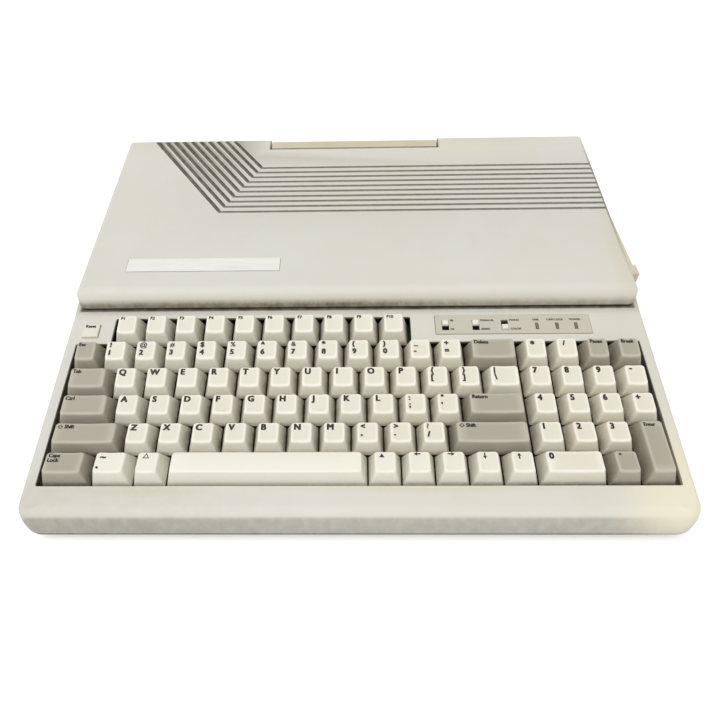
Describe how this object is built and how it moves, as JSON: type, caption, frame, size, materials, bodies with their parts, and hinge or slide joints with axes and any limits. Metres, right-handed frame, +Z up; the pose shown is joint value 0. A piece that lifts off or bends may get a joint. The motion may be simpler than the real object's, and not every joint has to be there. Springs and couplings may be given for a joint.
{
  "type": "vintage home computer",
  "caption": "Wedge-shaped beige home computer with a built-in sloped keyboard, grooved hood, folding handle and a disk drive in its right side.",
  "frame": {"origin": "centre of the bounding box's underside, on the surface that the rubber feet stand on", "axes": "+X to the right along the key rows, +Y to the rear, +Z up"},
  "size_m": [0.3796, 0.318, 0.0683],
  "materials": {
    "case_beige": "fine-grained moulded plastic, a little yellowed",
    "badge_silver": "blank pale plate",
    "panel_grey": "printed label plate",
    "foot_rubber": "soft black rubber",
    "screw_steel": "zinc-plated steel",
    "handle_tan": "yellowed plastic",
    "key_cream": "cream plastic with black legends",
    "key_grey": "grey-beige plastic with black legends",
    "knob_white": "small white knob",
    "lens_red": "dark red lens",
    "socket_black": "black plastic",
    "drive_bezel_beige": "moulded plastic",
    "lever_dark": "dark brown-grey plastic",
    "chassis_metal": "cast metal",
    "plate_steel": "plated sheet steel",
    "board_green": "solder-masked circuit board",
    "chip_black": "black moulded chips"
  },
  "bodies": {
    "computer": {"bottom_case": "case_beige", "top_case": "case_beige", "badge_plate": "badge_silver", "control_panel": "panel_grey", "expansion_cover": "case_beige", "rubber_feet": "foot_rubber", "case_screws": "screw_steel", "slide_switch_bodies": "plate_steel", "indicator_lenses": "lens_red", "rear_sockets": "socket_black", "speaker": "socket_black", "drive_chassis": "chassis_metal", "drive_bezel": "drive_bezel_beige", "carriage_rails": "screw_steel", "stepper_motor": "plate_steel", "main_board": "board_green", "board_parts": "chip_black", "keyboard_plate": "plate_steel", "key_switches": "socket_black", "keyboard_board": "board_green"},
    "function_keys_body": {"function_keys": "key_cream"},
    "digit_keys_body": {"digit_keys": "key_cream"},
    "upper_letter_keys_body": {"upper_letter_keys": "key_cream"},
    "home_letter_keys_body": {"home_letter_keys": "key_cream"},
    "lower_letter_keys_body": {"lower_letter_keys": "key_cream"},
    "keypad_upper_keys_body": {"keypad_upper_keys": "key_cream"},
    "keypad_lower_keys_body": {"keypad_lower_keys": "key_cream"},
    "escape_key_body": {"escape_key": "key_grey"},
    "delete_key_body": {"delete_key": "key_grey"},
    "pause_key_body": {"pause_key": "key_grey"},
    "break_key_body": {"break_key": "key_grey"},
    "tab_key_body": {"tab_key": "key_grey"},
    "backslash_key_body": {"backslash_key": "key_cream"},
    "control_key_body": {"control_key": "key_grey"},
    "return_key_body": {"return_key": "key_grey"},
    "left_shift_key_body": {"left_shift_key": "key_grey"},
    "right_shift_key_body": {"right_shift_key": "key_grey"},
    "caps_lock_key_body": {"caps_lock_key": "key_grey"},
    "tilde_key_body": {"tilde_key": "key_cream"},
    "open_triangle_key_body": {"open_triangle_key": "key_cream"},
    "space_bar_body": {"space_bar": "key_cream"},
    "solid_triangle_key_body": {"solid_triangle_key": "key_cream"},
    "arrow_left_key_body": {"arrow_left_key": "key_cream"},
    "arrow_right_key_body": {"arrow_right_key": "key_cream"},
    "arrow_down_key_body": {"arrow_down_key": "key_cream"},
    "arrow_up_key_body": {"arrow_up_key": "key_cream"},
    "keypad_zero_key_body": {"keypad_zero_key": "key_cream"},
    "keypad_point_key_body": {"keypad_point_key": "key_grey"},
    "enter_key_body": {"enter_key": "key_grey"},
    "reset_button_body": {"reset_button": "key_cream"},
    "column_switch_body": {"column_switch": "knob_white"},
    "printer_switch_body": {"printer_switch": "knob_white"},
    "display_switch_body": {"display_switch": "knob_white"},
    "power_rocker_body": {"power_rocker": "socket_black"},
    "volume_wheel_body": {"volume_wheel": "socket_black"},
    "handle_body": {"handle": "handle_tan"},
    "drive_lever_body": {"drive_lever": "lever_dark"},
    "spindle_hub_body": {"spindle_hub": "chassis_metal"},
    "hub_clamp_body": {"hub_clamp": "socket_black"},
    "head_carriage_body": {"head_carriage": "socket_black"}
  },
  "joints": [
    {"name": "function_keys_press", "type": "slide", "parent": "computer", "child": "function_keys_body", "axis": [0, 0.1392, -0.9903], "range_m": [0, 0.0032], "stiffness_N_per_m": 160, "springref_m": -0.003},
    {"name": "digit_keys_press", "type": "slide", "parent": "computer", "child": "digit_keys_body", "axis": [0, 0.1392, -0.9903], "range_m": [0, 0.0032], "stiffness_N_per_m": 160, "springref_m": -0.003},
    {"name": "upper_letter_keys_press", "type": "slide", "parent": "computer", "child": "upper_letter_keys_body", "axis": [0, 0.1392, -0.9903], "range_m": [0, 0.0032], "stiffness_N_per_m": 160, "springref_m": -0.003},
    {"name": "home_letter_keys_press", "type": "slide", "parent": "computer", "child": "home_letter_keys_body", "axis": [0, 0.1392, -0.9903], "range_m": [0, 0.0032], "stiffness_N_per_m": 160, "springref_m": -0.003},
    {"name": "lower_letter_keys_press", "type": "slide", "parent": "computer", "child": "lower_letter_keys_body", "axis": [0, 0.1392, -0.9903], "range_m": [0, 0.0032], "stiffness_N_per_m": 160, "springref_m": -0.003},
    {"name": "keypad_upper_keys_press", "type": "slide", "parent": "computer", "child": "keypad_upper_keys_body", "axis": [0, 0.1392, -0.9903], "range_m": [0, 0.0032], "stiffness_N_per_m": 160, "springref_m": -0.003},
    {"name": "keypad_lower_keys_press", "type": "slide", "parent": "computer", "child": "keypad_lower_keys_body", "axis": [0, 0.1392, -0.9903], "range_m": [0, 0.0032], "stiffness_N_per_m": 160, "springref_m": -0.003},
    {"name": "escape_key_press", "type": "slide", "parent": "computer", "child": "escape_key_body", "axis": [0, 0.1392, -0.9903], "range_m": [0, 0.0032], "stiffness_N_per_m": 160, "springref_m": -0.003},
    {"name": "delete_key_press", "type": "slide", "parent": "computer", "child": "delete_key_body", "axis": [0, 0.1392, -0.9903], "range_m": [0, 0.0032], "stiffness_N_per_m": 160, "springref_m": -0.003},
    {"name": "pause_key_press", "type": "slide", "parent": "computer", "child": "pause_key_body", "axis": [0, 0.1392, -0.9903], "range_m": [0, 0.0032], "stiffness_N_per_m": 160, "springref_m": -0.003},
    {"name": "break_key_press", "type": "slide", "parent": "computer", "child": "break_key_body", "axis": [0, 0.1392, -0.9903], "range_m": [0, 0.0032], "stiffness_N_per_m": 160, "springref_m": -0.003},
    {"name": "tab_key_press", "type": "slide", "parent": "computer", "child": "tab_key_body", "axis": [0, 0.1392, -0.9903], "range_m": [0, 0.0032], "stiffness_N_per_m": 160, "springref_m": -0.003},
    {"name": "backslash_key_press", "type": "slide", "parent": "computer", "child": "backslash_key_body", "axis": [0, 0.1392, -0.9903], "range_m": [0, 0.0032], "stiffness_N_per_m": 160, "springref_m": -0.003},
    {"name": "control_key_press", "type": "slide", "parent": "computer", "child": "control_key_body", "axis": [0, 0.1392, -0.9903], "range_m": [0, 0.0032], "stiffness_N_per_m": 160, "springref_m": -0.003},
    {"name": "return_key_press", "type": "slide", "parent": "computer", "child": "return_key_body", "axis": [0, 0.1392, -0.9903], "range_m": [0, 0.0032], "stiffness_N_per_m": 160, "springref_m": -0.003},
    {"name": "left_shift_key_press", "type": "slide", "parent": "computer", "child": "left_shift_key_body", "axis": [0, 0.1392, -0.9903], "range_m": [0, 0.0032], "stiffness_N_per_m": 160, "springref_m": -0.003},
    {"name": "right_shift_key_press", "type": "slide", "parent": "computer", "child": "right_shift_key_body", "axis": [0, 0.1392, -0.9903], "range_m": [0, 0.0032], "stiffness_N_per_m": 160, "springref_m": -0.003},
    {"name": "caps_lock_key_press", "type": "slide", "parent": "computer", "child": "caps_lock_key_body", "axis": [0, 0.1392, -0.9903], "range_m": [0, 0.0032], "stiffness_N_per_m": 160, "springref_m": -0.003},
    {"name": "tilde_key_press", "type": "slide", "parent": "computer", "child": "tilde_key_body", "axis": [0, 0.1392, -0.9903], "range_m": [0, 0.0032], "stiffness_N_per_m": 160, "springref_m": -0.003},
    {"name": "open_triangle_key_press", "type": "slide", "parent": "computer", "child": "open_triangle_key_body", "axis": [0, 0.1392, -0.9903], "range_m": [0, 0.0032], "stiffness_N_per_m": 160, "springref_m": -0.003},
    {"name": "space_bar_press", "type": "slide", "parent": "computer", "child": "space_bar_body", "axis": [0, 0.1392, -0.9903], "range_m": [0, 0.0032], "stiffness_N_per_m": 160, "springref_m": -0.003},
    {"name": "solid_triangle_key_press", "type": "slide", "parent": "computer", "child": "solid_triangle_key_body", "axis": [0, 0.1392, -0.9903], "range_m": [0, 0.0032], "stiffness_N_per_m": 160, "springref_m": -0.003},
    {"name": "arrow_left_key_press", "type": "slide", "parent": "computer", "child": "arrow_left_key_body", "axis": [0, 0.1392, -0.9903], "range_m": [0, 0.0032], "stiffness_N_per_m": 160, "springref_m": -0.003},
    {"name": "arrow_right_key_press", "type": "slide", "parent": "computer", "child": "arrow_right_key_body", "axis": [0, 0.1392, -0.9903], "range_m": [0, 0.0032], "stiffness_N_per_m": 160, "springref_m": -0.003},
    {"name": "arrow_down_key_press", "type": "slide", "parent": "computer", "child": "arrow_down_key_body", "axis": [0, 0.1392, -0.9903], "range_m": [0, 0.0032], "stiffness_N_per_m": 160, "springref_m": -0.003},
    {"name": "arrow_up_key_press", "type": "slide", "parent": "computer", "child": "arrow_up_key_body", "axis": [0, 0.1392, -0.9903], "range_m": [0, 0.0032], "stiffness_N_per_m": 160, "springref_m": -0.003},
    {"name": "keypad_zero_key_press", "type": "slide", "parent": "computer", "child": "keypad_zero_key_body", "axis": [0, 0.1392, -0.9903], "range_m": [0, 0.0032], "stiffness_N_per_m": 160, "springref_m": -0.003},
    {"name": "keypad_point_key_press", "type": "slide", "parent": "computer", "child": "keypad_point_key_body", "axis": [0, 0.1392, -0.9903], "range_m": [0, 0.0032], "stiffness_N_per_m": 160, "springref_m": -0.003},
    {"name": "enter_key_press", "type": "slide", "parent": "computer", "child": "enter_key_body", "axis": [0, 0.1392, -0.9903], "range_m": [0, 0.0032], "stiffness_N_per_m": 160, "springref_m": -0.003},
    {"name": "reset_button_press", "type": "slide", "parent": "computer", "child": "reset_button_body", "axis": [0, 0.1392, -0.9903], "range_m": [0, 0.001], "stiffness_N_per_m": 400, "springref_m": -0.001},
    {"name": "column_switch_slide", "type": "slide", "parent": "computer", "child": "column_switch_body", "axis": [0, 0.9903, 0.1392], "range_m": [-0.0035, 0]},
    {"name": "printer_switch_slide", "type": "slide", "parent": "computer", "child": "printer_switch_body", "axis": [0, 0.9903, 0.1392], "range_m": [-0.0035, 0]},
    {"name": "display_switch_slide", "type": "slide", "parent": "computer", "child": "display_switch_body", "axis": [0, 0.9903, 0.1392], "range_m": [0, 0.0035]},
    {"name": "power_rocker_tilt", "type": "hinge", "parent": "computer", "child": "power_rocker_body", "pos_m": [-0.10595, 0.153, 0.0314], "axis": [1, 0, 0], "range_deg": [-14, 0]},
    {"name": "volume_wheel_turn", "type": "hinge", "parent": "computer", "child": "volume_wheel_body", "pos_m": [-0.18155, 0.048, 0.0225], "axis": [0, 0, 1], "range_deg": [0, 270]},
    {"name": "handle_fold", "type": "hinge", "parent": "computer", "child": "handle_body", "pos_m": [-0.00175, 0.1518, 0.0572], "axis": [-1, 0, 0], "range_deg": [0, 90]},
    {"name": "drive_lever_turn", "type": "hinge", "parent": "computer", "child": "drive_lever_body", "pos_m": [0.18775, 0.083, 0.04], "axis": [1, 0, 0], "range_deg": [0, 90]},
    {"name": "hub_clamp_lower", "type": "slide", "parent": "computer", "child": "hub_clamp_body", "axis": [0, 0, -1], "range_m": [0, 0.003]},
    {"name": "spindle_spin", "type": "hinge", "parent": "computer", "child": "spindle_hub_body", "pos_m": [0.10975, 0.083, 0.02], "axis": [0, 0, 1], "continuous": true},
    {"name": "head_carriage_slide", "type": "slide", "parent": "computer", "child": "head_carriage_body", "axis": [1, 0, 0], "range_m": [0, 0.024]}
  ],
  "couplings": [
    {"joint": "hub_clamp_lower", "follows": "drive_lever_turn", "m_per_rad": 0.0019}
  ]
}
